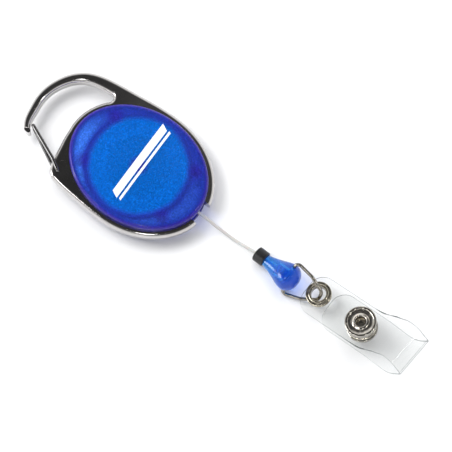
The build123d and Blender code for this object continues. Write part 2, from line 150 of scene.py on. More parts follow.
class Shader:
    """Short way to write a node material."""

    def __init__(self, name):
        self.material = bpy.data.materials.new(name)
        self.material.use_nodes = True
        self.tree = self.material.node_tree
        self.tree.nodes.clear()
        self.out = self.tree.nodes.new("ShaderNodeOutputMaterial")
        self.place = self.node("ShaderNodeTexCoord").outputs["Object"]

    def node(self, kind, **settings):
        node = self.tree.nodes.new(kind)
        for key, value in settings.items():
            setattr(node, key, value)
        return node

    def put(self, socket, value):
        """Sets a socket from a number, a colour or another node's output."""
        if isinstance(value, bpy.types.NodeSocket):
            self.tree.links.new(value, socket)
        elif isinstance(value, (tuple, list)):
            needs_alpha = len(value) == 3 and len(socket.default_value) == 4
            socket.default_value = tuple(value) + ((1.0,) if needs_alpha else ())
        else:
            socket.default_value = value

    def math(self, operation, a, b=0.0, c=0.0):
        node = self.node("ShaderNodeMath", operation=operation)
        for socket, value in zip(node.inputs, (a, b, c)):
            self.put(socket, value)
        return node.outputs[0]

    def noise(self, scale, detail=2.0, roughness=0.5, vector=None):
        """Soft noise from 0 to 1; scale is in cells per metre."""
        node = self.node("ShaderNodeTexNoise")
        self.put(node.inputs["Vector"], vector or self.place)
        self.put(node.inputs["Scale"], scale)
        self.put(node.inputs["Detail"], detail)
        self.put(node.inputs["Roughness"], roughness)
        return node.outputs["Fac"]

    def stretched(self, x, y, z):
        """The place, scaled by its own factor along each axis."""
        node = self.node("ShaderNodeMapping")
        self.put(node.inputs["Vector"], self.place)
        node.inputs["Scale"].default_value = (x, y, z)
        return node.outputs["Vector"]

    def across(self):
        """The place's X and Y."""
        node = self.node("ShaderNodeSeparateXYZ")
        self.put(node.inputs[0], self.place)
        return node.outputs[0], node.outputs[1]

    def ramp(self, value, stops):
        """Colour ramp in straight lines; each stop is (position, grey or colour)."""
        node = self.node("ShaderNodeValToRGB")
        elements = node.color_ramp.elements
        while len(elements) < len(stops):
            elements.new(1.0)
        for element, (position, colour) in zip(elements, stops):
            element.position = position
            colour = (colour,) * 3 if isinstance(colour, float) else colour
            element.color = (*colour, 1.0)
        self.put(node.inputs[0], value)
        return node.outputs[0]

    def length(self, x, y):
        """Length of the flat vector (x, y)."""
        squares = self.math("ADD", self.math("MULTIPLY", x, x), self.math("MULTIPLY", y, y))
        return self.math("SQRT", squares)

    def ramp_value(self, value, low, high, to_low, to_high):
        """value brought from low..high to to_low..to_high in a straight line, clamped."""
        node = self.node("ShaderNodeMapRange")
        self.put(node.inputs["Value"], value)
        for socket, number in zip(RANGE_SOCKETS, (low, high, to_low, to_high)):
            node.inputs[socket].default_value = number
        return node.outputs[0]

    def between(self, value, low, high):
        """value brought smoothly from low..high to 0..1, clamped."""
        node = self.node("ShaderNodeMapRange", interpolation_type="SMOOTHSTEP")
        self.put(node.inputs["Value"], value)
        node.inputs["From Min"].default_value = low
        node.inputs["From Max"].default_value = high
        return node.outputs[0]

    def mix(self, factor, a, b, blend="MIX"):
        """Colour a turned towards colour b."""
        node = self.node("ShaderNodeMix", data_type="RGBA", blend_type=blend)
        self.put(node.inputs[0], factor)
        self.put(node.inputs[6], a)
        self.put(node.inputs[7], b)
        return node.outputs[2]

    def painted_dark_flank(self):
        """Painted shade: grey that darkens polished metal where it turns away from the eye, standing in
        for the dark reflections along its outline.
        """
        facing = self.node("ShaderNodeLayerWeight")
        facing.inputs["Blend"].default_value = 0.5
        return self.ramp(facing.outputs["Facing"], [(0.0, 1.0), (0.34, 1.0), (0.52, 0.30), (1.0, 0.12)])

    def trough(self, centre, axis):
        """Bump of a round trough about an axis: its sides catch light that its middle does not."""
        away = self.node("ShaderNodeVectorMath", operation="SUBTRACT")
        self.put(away.inputs[0], self.place)
        away.inputs[1].default_value = centre
        aside = self.node("ShaderNodeVectorMath", operation="CROSS_PRODUCT")
        self.put(aside.inputs[0], away.outputs[0])
        aside.inputs[1].default_value = axis
        reach = self.node("ShaderNodeVectorMath", operation="LENGTH")
        self.put(reach.inputs[0], aside.outputs[0])
        off = self.math("SUBTRACT", reach.outputs["Value"], TROUGH_RADIUS)
        off = self.math("MAXIMUM", self.math("MINIMUM", off, TROUGH_OUT), -TROUGH_IN)
        return self.bump(self.math("MULTIPLY", self.math("MULTIPLY", off, off), TROUGH_BEND), 1.0, 1.0)

    def bump(self, height, strength, distance, normal=None):
        """Normal bent by a height; distance is the height's full size in metres."""
        node = self.node("ShaderNodeBump")
        self.put(node.inputs["Height"], height)
        node.inputs["Strength"].default_value = strength
        node.inputs["Distance"].default_value = distance
        if normal is not None:
            self.put(node.inputs["Normal"], normal)
        return node.outputs[0]

    def principled(self, **inputs):
        """Principled shader; an input's name has _ for each space."""
        node = self.node("ShaderNodeBsdfPrincipled")
        for key, value in inputs.items():
            self.put(node.inputs[key.replace("_", " ")], value)
        return node.outputs[0]

    def blend(self, factor, a, b):
        """Shader a turned towards shader b."""
        node = self.node("ShaderNodeMixShader")
        self.put(node.inputs[0], factor)
        self.put(node.inputs[1], a)
        self.put(node.inputs[2], b)
        return node.outputs[0]

    def clear_to_shadows(self, surface, colour):
        """Lets direct light through, tinted, so that what lies behind stays lit."""
        ray = self.node("ShaderNodeLightPath").outputs["Is Shadow Ray"]
        through = self.node("ShaderNodeBsdfTransparent")
        self.put(through.inputs[0], colour)
        return self.blend(ray, surface, through.outputs[0])

    def done(self, surface):
        """Ends the material with its surface shader."""
        self.put(self.out.inputs["Surface"], surface)
        return self.material


# ------------------------------------------------------------------ places that the materials use
VERTICAL = Vector((0, 0, 1))
ALONG_STRAP = heading(2.0, 16.0)
STRAP_ACROSS = VERTICAL.cross(ALONG_STRAP).normalized()
STRAP_UP = ALONG_STRAP.cross(STRAP_ACROSS)
EYELET = mm(0.531, -72.110, 6.028)
SNAP_DISTANCE = 17.0  # millimetres from the eyelet's axis to the snap's
SNAP = EYELET + ALONG_STRAP * (SNAP_DISTANCE * MM)

# Trough in the snap's cap: radius of its lowest line, and how far it reaches in and out
TROUGH_RADIUS, TROUGH_IN, TROUGH_OUT = 3.3 * MM, 1.1 * MM, 0.9 * MM
TROUGH_BEND = 190.0  # its height is this times the square of the distance from the lowest line

# Cover: half axes of the oval, the press pins, and the radii where its tones change
OVAL_X, OVAL_Y = 19.35 * MM, 24.55 * MM
PIN_X, PIN_Y, PIN_BLUR, PIN_CORE = 9.4 * MM, 16.3 * MM, 4.0 * MM, 0.4 * MM
SPOOL_EDGE = (14.8 * MM, 17.4 * MM)
WALL_EDGE = (17.6 * MM, 19.6 * MM)
POST_BLUR, POST_CORE = 4.2 * MM, 1.0 * MM
EDGE_WAVE = 1.6 * MM
# Fractions of the oval: where the painted light at the ends fades out, and where the violet rim begins and
# ends
END_FADE = (0.965, 0.86)
RIM = (0.93, 0.985)

# Bob: where the tint begins to deepen along Y, and where it is deepest
BOB_AZURE, BOB_NAVY = -53.5 * MM, -64.0 * MM

PLASTIC_IOR = 1.46


# ------------------------------------------------------------------ materials
def black_chrome(name):
    """Dark chrome plating, faintly wavy."""
    s = Shader(name)
    colour = s.mix(s.noise(160, 2), (0.50, 0.48, 0.47), (0.66, 0.645, 0.64))
    rough = s.ramp(s.noise(2600, 3), [(0.3, 0.09), (0.7, 0.15)])
    wavy = s.bump(s.noise(70, 1), 0.35, 0.0003)
    normal = s.bump(s.noise(420, 3), 0.2, 0.00003, wavy)
    return s.done(s.principled(Base_Color=colour, Metallic=1.0, Roughness=rough, Normal=normal))


def nickel(name, warm=0.0, shade=1.0, ripple=0.0003, dished=False):
    """Polished nickel; dished turns a flat ring round the snap's axis into a shallow trough."""
    s = Shader(name)
    low = [shade * part for part in (0.60 + 0.02 * warm, 0.57, 0.52 - 0.06 * warm)]
    high = [shade * part for part in (0.82 + 0.03 * warm, 0.78, 0.72 - 0.08 * warm)]
    # Painted shade: the nickel's colour is darkened where it turns away from the eye
    colour = s.mix(1.0, s.mix(s.noise(300, 3), low, high), s.painted_dark_flank(), "MULTIPLY")
    rough = s.ramp(s.noise(2400, 3), [(0.3, 0.05), (0.75, 0.12)])
    wavy = s.bump(s.noise(420, 1), 0.8, ripple, s.trough(SNAP, STRAP_UP) if dished else None)
    normal = s.bump(s.noise(900, 3), 0.12, 0.00002, wavy)
    return s.done(s.principled(Base_Color=colour, Metallic=1.0, Roughness=rough, Normal=normal))


def wire_metal(name):
    """Dark plated spring wire."""
    s = Shader(name)
    colour = s.mix(s.noise(500, 3), (0.13, 0.13, 0.135), (0.24, 0.235, 0.23))
    normal = s.bump(s.noise(1500, 3), 0.25, 0.00002)
    return s.done(s.principled(Base_Color=colour, Metallic=1.0, Roughness=0.16, Normal=normal))


def spring_steel(name):
    """Rolled steel ribbon, with fine lines along it."""
    s = Shader(name)
    grain = s.noise(1.0, 2, 0.5, s.stretched(300, 300, 6000))
    colour = s.mix(grain, (0.55, 0.56, 0.58), (0.74, 0.74, 0.75))
    return s.done(s.principled(Base_Color=colour, Metallic=0.35, Roughness=0.36,
                               Normal=s.bump(grain, 0.2, 0.00002)))


def white_plastic(name):
    """Satin white moulded plastic."""
    s = Shader(name)
    colour = s.mix(s.noise(220, 3), (0.86, 0.87, 0.88), (0.93, 0.93, 0.92))
    normal = s.bump(s.noise(1800, 3), 0.2, 0.00003)
    return s.done(s.principled(Base_Color=colour, Roughness=0.42, Normal=normal))


def black_plastic(name):
    """Matt black moulded plastic with a fine grain."""
    s = Shader(name)
    colour = s.mix(s.noise(400, 3), (0.006, 0.006, 0.0065), (0.016, 0.016, 0.017))
    normal = s.bump(s.noise(2200, 4), 0.5, 0.00006)
    rough = s.ramp(s.noise(900, 2), [(0.3, 0.34), (0.7, 0.5)])
    return s.done(s.principled(Base_Color=colour, Roughness=rough, Normal=normal))


def cord_nylon(name):
    """Braided white cord: fine slanted strands."""
    s = Shader(name)
    strands = s.node("ShaderNodeTexWave", wave_type="BANDS", bands_direction="DIAGONAL")
    s.put(strands.inputs["Vector"], s.place)
    s.put(strands.inputs["Scale"], 1100.0)
    s.put(strands.inputs["Distortion"], 1.5)
    s.put(strands.inputs["Detail"], 2.0)
    band = strands.outputs["Fac"]
    colour = s.mix(band, (0.48, 0.47, 0.45), (0.70, 0.69, 0.66))
    normal = s.bump(band, 0.5, 0.00008)
    return s.done(s.principled(Base_Color=colour, Roughness=0.62, Normal=normal,
                               Sheen_Weight=0.35, Subsurface_Weight=0.15, Subsurface_Scale=0.0006))


def white_ink(name):
    """Opaque white ink, slightly uneven."""
    s = Shader(name)
    colour = s.mix(s.noise(1400, 3), (0.78, 0.82, 0.90), (0.90, 0.92, 0.96))
    return s.done(s.principled(Base_Color=colour, Roughness=0.35,
                               Normal=s.bump(s.noise(3000, 2), 0.2, 0.00002)))


def frosted_blue(name, rear=False):
    """Translucent blue, finely speckled; its tone is painted azure over the white spool, standing in for
    the light the spool throws back, and violet outside it.
    """
    s = Shader(name)
    x, y = s.across()
    radius = s.length(x, y)
    from_rim = s.length(s.math("DIVIDE", x, OVAL_X), s.math("DIVIDE", y, OVAL_Y))
    cloud = s.noise(130, 3, 0.55)
    waved = s.math("MULTIPLY_ADD", cloud, EDGE_WAVE, s.math("SUBTRACT", radius, EDGE_WAVE / 2))
    outside = s.between(waved, *SPOOL_EDGE)
    # Painted light: beyond the round wall the ends of the oval are lighter, most of all towards the hook
    # and the gate, the side the light comes from
    beyond = s.between(waved, *WALL_EDGE)
    inside_rim = s.between(from_rim, *END_FADE)
    towards_hook = s.ramp_value(y, -20 * MM, 12 * MM, 0.30, 1.0)
    towards_gate = s.between(x, 10 * MM, -2 * MM)
    end = s.math("MULTIPLY", s.math("MULTIPLY", beyond, inside_rim), towards_hook)
    end = s.math("MULTIPLY", end, towards_gate)
    # The press pins and the post's tip show as soft dark patches
    pins = s.between(s.length(s.math("SUBTRACT", s.math("ABSOLUTE", x), PIN_X),
                              s.math("SUBTRACT", s.math("ABSOLUTE", y), PIN_Y)), PIN_BLUR, PIN_CORE)
    centre = s.between(radius, POST_BLUR, POST_CORE)
    dark = s.math("MAXIMUM", s.math("MULTIPLY", pins, 0.7), centre)
    speckle = s.noise(2100, 2, 0.75)
    grain = s.ramp(speckle, [(0.30, 0.40), (0.50, 1.0), (0.70, 2.10)])
    # Painted light: the milk is azure over the white spool, standing in for the light it throws back, and
    # violet outside it
    milk = s.mix(outside, (0.002, 0.130, 0.52), (0.020, 0.046, 0.38))
    # Painted light: the ends beyond the round wall are made lighter
    milk = s.mix(end, milk, (0.045, 0.19, 0.74))
    milk = s.mix(s.between(from_rim, *RIM), milk, (0.045, 0.022, 0.40))
    milk = s.mix(s.math("MULTIPLY", dark, 0.75), milk, (0.035, 0.010, 0.34))
    milk = s.mix(0.75, milk, grain, "MULTIPLY")
    # tint colours what is seen through the cover, milk is the cover's diffuse tone with painted light in
    # it, share is the milk's part
    tint = s.mix(outside, (0.02, 0.55, 0.88), (0.28, 0.42, 0.90))
    tint = s.mix(s.math("MULTIPLY", dark, 0.7), tint, (0.22, 0.12, 0.75))
    share = s.math("MULTIPLY_ADD", outside, -0.05, 0.62)
    if rear:
        tint = (0.40, 0.40, 0.86)
        milk = (0.05, 0.05, 0.42)
        share = 0.35
    through = s.node("ShaderNodeBsdfRefraction")
    s.put(through.inputs["Color"], tint)
    s.put(through.inputs["Roughness"], 0.38)
    s.put(through.inputs["IOR"], PLASTIC_IOR)
    diffuse = s.node("ShaderNodeBsdfDiffuse")
    s.put(diffuse.inputs["Color"], milk)
    gloss = s.node("ShaderNodeBsdfGlossy")
    s.put(gloss.inputs["Roughness"], 0.12)
    s.put(gloss.inputs["Normal"], s.bump(speckle, 0.25, 0.00004))
    fresnel = s.node("ShaderNodeFresnel")
    s.put(fresnel.inputs["IOR"], PLASTIC_IOR)
    body = s.blend(share, through.outputs[0], diffuse.outputs[0])
    surface = s.blend(fresnel.outputs[0], body, gloss.outputs[0])
    return s.done(s.clear_to_shadows(surface, (0.56, 0.61, 0.78)))


def clear_blue(name):
    """Tinted clear plastic: azure at the narrow end, deepening to navy at the round end."""
    s = Shader(name)
    depth = s.between(s.across()[1], BOB_AZURE, BOB_NAVY)
    tint = s.mix(depth, (0.02, 0.46, 0.90), (0.03, 0.24, 0.82))
    tint = s.mix(s.math("MULTIPLY", s.noise(150, 2), 0.35), tint, (0.01, 0.10, 0.60))
    normal = s.bump(s.noise(260, 2), 0.15, 0.00005)
    glassy = s.principled(Base_Color=tint, Roughness=0.03, IOR=1.5, Transmission_Weight=1.0, Normal=normal)
    milk = s.mix(depth, (0.004, 0.17, 0.62), (0.012, 0.05, 0.46))
    milky = s.principled(Base_Color=milk, Roughness=0.06)
    return s.done(s.clear_to_shadows(s.blend(0.25, glassy, milky), (0.36, 0.44, 0.72)))


def clear_vinyl(name):
    """Thin clear sheet: seen straight through, with a weak rippled gloss."""
    s = Shader(name)
    tint = s.mix(s.noise(60, 2), (0.978, 0.982, 0.980), (0.989, 0.991, 0.990))
    facing = s.node("ShaderNodeLayerWeight").outputs["Facing"]
    # Painted shade: the tint darkens where the sheet is seen edge-on
    tint = s.mix(s.between(facing, 0.72, 0.98), tint, (0.66, 0.70, 0.69))
    through = s.node("ShaderNodeBsdfTransparent")
    s.put(through.inputs[0], tint)
    gloss = s.node("ShaderNodeBsdfGlossy")
    s.put(gloss.inputs["Roughness"], 0.10)
    ripple = s.bump(s.noise(60, 1), 0.15, 0.0003)
    s.put(gloss.inputs["Normal"], s.bump(s.noise(1500, 2), 0.10, 0.00002, ripple))
    shine = s.ramp(facing, [(0.0, 0.018), (0.6, 0.04), (0.85, 0.12), (1.0, 0.30)])
    return s.done(s.blend(shine, through.outputs[0], gloss.outputs[0]))


def cut_edge(name):
    """Cut edge of the vinyl: light is lost in it, so it reads as a thin grey-green line."""
    s = Shader(name)
    tone = s.mix(s.noise(500, 2), (0.10, 0.12, 0.12), (0.22, 0.25, 0.25))
    solid = s.principled(Base_Color=tone, Roughness=0.25, IOR=1.45)
    through = s.node("ShaderNodeBsdfTransparent")
    s.put(through.inputs[0], (0.80, 0.84, 0.84))
    surface = s.blend(0.80, through.outputs[0], solid)
    return s.done(s.clear_to_shadows(surface, (0.86, 0.88, 0.88)))


MATERIALS = {
    "carabiner_frame": black_chrome("black_chrome"),
    "gate_wire": wire_metal("dark_wire"),
    "front_cover": frosted_blue("frosted_blue"),
    "rear_cover": frosted_blue("frosted_blue_rear", True),
    "spool": white_plastic("white_plastic"),
    "power_spring": spring_steel("spring_steel"),
    "stop_collar": black_plastic("black_plastic"),
    "bob": clear_blue("clear_blue"),
    "bail_wire": nickel("nickel_wire", 0.5, 0.45),
    "eyelet": nickel("nickel_eyelet", 1.0, 1.0, 0.0004),
    "eyelet_washer": nickel("nickel_washer", 1.0),
    "snap_cap": nickel("nickel_cap", 0.2, 1.05, 0.0004, True),
    "snap_socket": nickel("nickel_socket", 0.2, 1.0, 0.0004),
    "snap_stud": nickel("nickel_stud", 0.6),
    "snap_post": nickel("nickel_post"),
}
CORD = cord_nylon("cord_nylon")
VINYL = clear_vinyl("clear_vinyl")
VINYL_EDGE = cut_edge("vinyl_edge")

for node, material in MATERIALS.items():
    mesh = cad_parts[node].data
    mesh.materials.clear()
    mesh.materials.append(material)

# ------------------------------------------------------------------ cord pieces
CORD_RADIUS = 0.52 * MM
CORD_HEIGHT = 5.0  # millimetres above the floor where the cord leaves the case
COLLAR_FRONT = mm(0.43, -47.6, 3.2)
ALONG_BOB = heading(4.0, 10.0)
CORD_FALL = -24.6  # the cord runs level up to this Y, then falls to the floor


def finish_piece(obj, material):
    """Gives a piece its material."""
    obj.data.materials.append(material)
    return obj


free_path = spline_points(
    [
        mm(0, -22.9, CORD_HEIGHT),
        mm(0, CORD_FALL, CORD_HEIGHT),
        mm(0.05, -27.2, 4.3),
        mm(0.12, -32.0, 2.3),
        mm(0.25, -38.5, 0.85),
        mm(0.36, -43.5, 1.9),
        COLLAR_FRONT + ALONG_BOB * (0.6 * MM),
    ],
    14,
)
free_cord = tube("cord_free", free_path, CORD_RADIUS, 16)
finish_piece(free_cord, CORD)
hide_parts("cord")
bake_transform(free_cord)

# Wound cord on the spool: two layers of turns, as a helix that climbs and comes back
COIL_LOW, COIL_HIGH, TURNS = 3.45, 8.2, 4.6
COIL_RADII = (12.45, 13.3)
COIL_STEPS = 260
coil_path = []
for layer, radius in enumerate(COIL_RADII):
    for i in range(COIL_STEPS + 1):
        t = i / COIL_STEPS
        height = COIL_LOW + (COIL_HIGH - COIL_LOW) * (t if layer == 0 else 1 - t)
        angle = 2 * math.pi * (TURNS * t + TURNS * layer)
        coil_path.append(mm(radius * math.cos(angle), radius * math.sin(angle), height))
coil = tube("cord_wound", coil_path, CORD_RADIUS * 0.98, 10)
finish_piece(coil, CORD)
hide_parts("cord_coil")
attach(coil, "spool")

# Run of cord inside the case: off the drum's side, then bent to the exit hole
lead_low, lead_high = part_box("cord_lead")
lead_path = spline_points(
    [
        Vector((lead_high.x - CORD_RADIUS, lead_high.y - 0.6 * MM, CORD_HEIGHT * MM)),
        Vector((lead_high.x * 0.62, lead_high.y * 0.62 + lead_low.y * 0.38, CORD_HEIGHT * MM)),
        mm(1.5, -19.6, CORD_HEIGHT),
        mm(0.1, -22.6, CORD_HEIGHT),
        mm(0, -23.3, CORD_HEIGHT),
    ],
    12,
)
lead = tube("cord_inside", lead_path, CORD_RADIUS * 0.96, 12)
finish_piece(lead, CORD)
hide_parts("cord_lead")
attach(lead, "case")

# Knot: a trefoil inside the bob, on the end of the straight run through collar and neck
KNOT_DISTANCE, KNOT_SIZE, KNOT_DEPTH, KNOT_STEPS = 10.9, 0.36, 0.55, 96
across = VERTICAL.cross(ALONG_BOB).normalized()
up = ALONG_BOB.cross(across)
knot_centre = COLLAR_FRONT + ALONG_BOB * (KNOT_DISTANCE * MM)
knot_path = []
for i in range(KNOT_STEPS):
    t = 2 * math.pi * i / KNOT_STEPS
    a = KNOT_SIZE * (math.sin(t) + 2 * math.sin(2 * t))
    b = KNOT_SIZE * (math.cos(t) - 2 * math.cos(2 * t))
    c = -KNOT_DEPTH * math.sin(3 * t)
    knot_path.append(knot_centre + (across * a + up * b + ALONG_BOB * c) * MM)
knot = tube("cord_knot_loop", knot_path, 0.44 * MM, 12, closed=True)
finish_piece(knot, CORD)
tail_path = [COLLAR_FRONT + ALONG_BOB * (d * MM) for d in (0.3, 2.5, 5.0, 7.5, 9.6)]
tail = tube("cord_tail", tail_path, 0.5 * MM, 12)
finish_piece(tail, CORD)
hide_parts("cord_knot")
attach(tail, "cord_end")
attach(knot, "cord_end")

# ------------------------------------------------------------------ clear strap, in millimetres
STRAP_HALF = 7.0
OFFSET = -0.5  # the strap lies this far to the side of its holes
STRAP_THICK = 0.5
STRAP_CORNER = 5.0
EDGE_ROUND = 0.2
LAYER = -4.3  # height of the lower layer under the upper one
SPAN_STEPS = 14

# The strap from the side: (along, up) from the eyelet's axis, out to the fold and back
side_points = [
    (-4.4, 0.0), (2.0, 0.0), (9.0, 0.0), (16.0, 0.0), (22.6, 0.0), (26.5, 1.1), (30.2, 2.7),
    (33.6, 2.2), (36.1, -0.2), (37.25, -2.15), (36.1, -4.1), (33.6, -6.0), (30.2, -6.2),
    (26.5, -5.2), (22.6, LAYER), (16.0, LAYER), (10.0, LAYER), (3.8, LAYER),
]
FOLD_POINT = 9  # which of the side points is the fold
side_curve = spline_points([Vector((a, b, 0)) for a, b in side_points], SPAN_STEPS)
lengths = [0.0]
for a, b in zip(side_curve, side_curve[1:]):
    lengths.append(lengths[-1] + (b - a).length)
STRAP_LENGTH = lengths[-1]
FOLD = lengths[FOLD_POINT * SPAN_STEPS]
# Sideways place of the middle line, as (distance, place): the loop does not close squarely
SWAY = [(0.0, OFFSET), (24.5, OFFSET), (31.0, 1.1), (35.0, 1.5), (FOLD, 0.7), (FOLD + 8.0, -0.5),
        (FOLD + 15.5, OFFSET), (STRAP_LENGTH + 5.0, OFFSET)]
FOLD_SKEW = 0.07  # slope of the fold across the strap
FOLD_REACH = 14.0  # how far from the fold the skew fades out
CREASE = 0.35  # half width of the dark line along the fold, painted shade in its crease
# Holes for the eyelet, the snap's cap and the snap's post: (distance, radius)
HOLES = ((4.4, 2.84), (21.4, 2.28), (STRAP_LENGTH - 13.2, 2.28))


def sway(distance):
    """Sideways place of the strap's middle line at a distance from its eyelet end."""
    for (a, low), (b, high) in zip(SWAY, SWAY[1:]):
        if distance <= b:
            t = max(0.0, (distance - a) / (b - a))
            return low + (high - low) * t * t * (3 - 2 * t)
    return OFFSET


def curve_heading(k):
    """Heading of the side curve at its point k."""
    return (side_curve[min(k + 1, len(side_curve) - 1)] - side_curve[max(k - 1, 0)]).normalized()


def strap_place(distance):
    """Point and heading of the strap's middle line at a distance from its eyelet end."""
    distance = min(max(distance, 0.0), STRAP_LENGTH)
    i = 0
    while i < len(lengths) - 2 and lengths[i + 1] < distance:
        i += 1
    span = lengths[i + 1] - lengths[i]
    t = (distance - lengths[i]) / span
    point = side_curve[i].lerp(side_curve[i + 1], t)
    return point, curve_heading(i).lerp(curve_heading(i + 1), t).normalized()


def prism(name, outline, low, high):
    """Flat block from a closed outline, as a cutter."""
    count = len(outline)
    verts = [(x, y, low) for x, y in outline] + [(x, y, high) for x, y in outline]
    faces = [tuple(reversed(range(count))), tuple(range(count, 2 * count))]
    faces += [(i, (i + 1) % count, count + (i + 1) % count, count + i) for i in range(count)]
    return mesh_object(name, verts, faces)


def circle(x, y, radius, count=40):
    """Outline of a round hole."""
    turns = [2 * math.pi * i / count for i in range(count)]
    return [(x + radius * math.cos(turn), y + radius * math.sin(turn)) for turn in turns]


def rounded_strip(length, half, corner, count=12):
    """Outline of a strip with round corners, from 0 to its length."""
    points = []
    for cx, cy, turn in ((length - corner, half - corner, 0), (corner, half - corner, 90),
                         (corner, corner - half, 180), (length - corner, corner - half, 270)):
        for i in range(count + 1):
            angle = math.radians(turn + 90 * i / count)
            points.append((cx + corner * math.cos(angle), cy + corner * math.sin(angle)))
    return points


def grid_faces(steps, rows, at):
    """Faces of a block of steps x rows cells whose corner (i, j) on side k is vertex at(i, j, k)."""
    faces = []
    for i in range(steps):
        for j in range(rows):
            faces.append((at(i, j, 1), at(i + 1, j, 1), at(i + 1, j + 1, 1), at(i, j + 1, 1)))
            faces.append((at(i, j, 0), at(i, j + 1, 0), at(i + 1, j + 1, 0), at(i + 1, j, 0)))
        for j in (0, rows):
            faces.append((at(i, j, 0), at(i + 1, j, 0), at(i + 1, j, 1), at(i, j, 1)))
    for i in (0, steps):
        for j in range(rows):
            faces.append((at(i, j, 0), at(i, j + 1, 0), at(i, j + 1, 1), at(i, j, 1)))
    return faces


# Work in millimetres on the flat, then wrap the sheet along the side curve
FLAT_STEPS, FLAT_ROWS = 180, 8
SPARE = 1.0  # the flat sheet is larger than its outline by this, all round
CUT_DEPTH = 2.0
verts = []
for i in range(FLAT_STEPS + 1):
    for j in range(FLAT_ROWS + 1):
        for side in (-0.5, 0.5):
            along = -SPARE + (STRAP_LENGTH + 2 * SPARE) * i / FLAT_STEPS
            sideways = (2 * j / FLAT_ROWS - 1) * (STRAP_HALF + SPARE)
            verts.append((along, sideways, side * STRAP_THICK))


def sheet_vertex(i, j, k):
    """Number of the flat sheet's grid vertex (i, j) on side k."""
    return (i * (FLAT_ROWS + 1) + j) * 2 + k


sheet = mesh_object("strap_clear", verts, grid_faces(FLAT_STEPS, FLAT_ROWS, sheet_vertex))

outline = rounded_strip(STRAP_LENGTH, STRAP_HALF, STRAP_CORNER)
cutters = [(prism("cut_outline", outline, -CUT_DEPTH, CUT_DEPTH), "INTERSECT")]
for distance, radius in HOLES:
    hole = circle(distance, -OFFSET, radius)
    cutters.append((prism("cut_hole", hole, -CUT_DEPTH, CUT_DEPTH), "DIFFERENCE"))
for cutter, operation in cutters:
    modifier = sheet.modifiers.new("cut", "BOOLEAN")
    modifier.object = cutter
    modifier.operation = operation
    modifier.solver = "EXACT"
edge = sheet.modifiers.new("edge", "BEVEL")
edge.width = EDGE_ROUND
edge.segments = 3
edge.limit_method = "ANGLE"
edge.angle_limit = math.radians(TUBE_SHARP)
bpy.context.view_layer.update()
evaluated = sheet.evaluated_get(bpy.context.evaluated_depsgraph_get())
wrapped = bpy.data.meshes.new_from_object(evaluated)
sheet.modifiers.clear()
for cutter, operation in cutters:
    bpy.data.objects.remove(cutter)
FLAT_FACE = 0.95  # faces whose normal rises less than this belong to the cut edge
for polygon in wrapped.polygons:
    is_edge = abs(polygon.normal.z) < FLAT_FACE
    # Painted shade: faces along the fold's crease take the dark edge material
    is_crease = abs(polygon.center.x - FOLD) < CREASE
    polygon.material_index = 1 if is_edge or is_crease else 0
for vertex in wrapped.vertices:
    distance, sideways, height = vertex.co
    point, direction = strap_place(distance)
    normal = Vector((-direction.y, direction.x, 0))
    place = point + normal * height
    near_fold = max(0.0, 1.0 - ((distance - FOLD) / FOLD_REACH) ** 2)
    place.x += FOLD_SKEW * sideways * near_fold
    sideways += sway(distance)
    vertex.co = EYELET + (ALONG_STRAP * place.x + STRAP_UP * place.y + STRAP_ACROSS * sideways) * MM
sheet.data = wrapped
smooth(wrapped, SHEET_SHARP)
finish_piece(sheet, VINYL)
wrapped.materials.append(VINYL_EDGE)
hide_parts("strap_upper", "strap_flap")
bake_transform(sheet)

# ------------------------------------------------------------------ generic print on the dome
DOME_RADIUS, DOME_TOP = 250.0, 12.0
INK_LEVELS = (0.004, 0.035)  # the film's under and upper side above the dome
INK_STEPS, INK_ROWS = 60, 4
INK_SLANT = 0.5
PRINT_START, PRINT_END = -13.0, 15.0
INK_WHITE = white_ink("white_ink")


def dome_height(x, y):
    """Height of the cover's domed top, in millimetres."""
    return DOME_TOP - DOME_RADIUS + math.sqrt(DOME_RADIUS ** 2 - x * x - y * y)


def ink_vertex(i, j, k):
    """Number of the print's grid vertex (i, j) on level k."""
    return (k * (INK_STEPS + 1) + i) * (INK_ROWS + 1) + j


def stripe(name, y0, y1):
    """Plain printed bar from y0 to y1, with slanted ends, following the dome."""
    verts = []
    for level in INK_LEVELS:
        for i in range(INK_STEPS + 1):
            for j in range(INK_ROWS + 1):
                y = y0 + (y1 - y0) * j / INK_ROWS
                x = PRINT_START + (PRINT_END - PRINT_START) * i / INK_STEPS + INK_SLANT * (y - y0)
                verts.append(mm(x, y, dome_height(x, y) + level))
    obj = mesh_object(name, verts, grid_faces(INK_STEPS, INK_ROWS, ink_vertex), SHEET_SHARP)
    obj.data.materials.append(INK_WHITE)
    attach(obj, "case")


stripe("print_bar_wide", -0.6, 1.9)
stripe("print_bar_thin", -2.1, -1.3)

# ------------------------------------------------------------------ floor, light, camera
floor_shader = Shader("floor_white")
floor_tone = floor_shader.mix(floor_shader.noise(8, 2), (0.90, 0.90, 0.905), (0.92, 0.92, 0.92))
floor_material = floor_shader.done(floor_shader.principled(Base_Color=floor_tone, Roughness=0.9,
                                                           Specular_IOR_Level=0.1))
FLOOR_HALF = 3.0
FLOOR_GAP = 0.00005  # keeps the floor from touching what stands on it
floor_corners = [(x * FLOOR_HALF, y * FLOOR_HALF, 0) for x, y in ((-1, -1), (1, -1), (1, 1), (-1, 1))]
floor = mesh_object("floor", floor_corners, [(0, 1, 2, 3)])
floor.location.z = -FLOOR_GAP
floor.data.materials.append(floor_material)

world = bpy.data.worlds.new("studio")
bpy.context.scene.world = world
world.use_nodes = True
tree = world.node_tree
tree.nodes.clear()


def world_node(kind, **settings):
    """New node of the world, with its settings."""
    node = tree.nodes.new(kind)
    for key, value in settings.items():
        setattr(node, key, value)
    return node


direction = world_node("ShaderNodeTexCoord")
parts = world_node("ShaderNodeSeparateXYZ")
tree.links.new(direction.outputs["Generated"], parts.inputs[0])
height_ramp = world_node("ShaderNodeValToRGB")
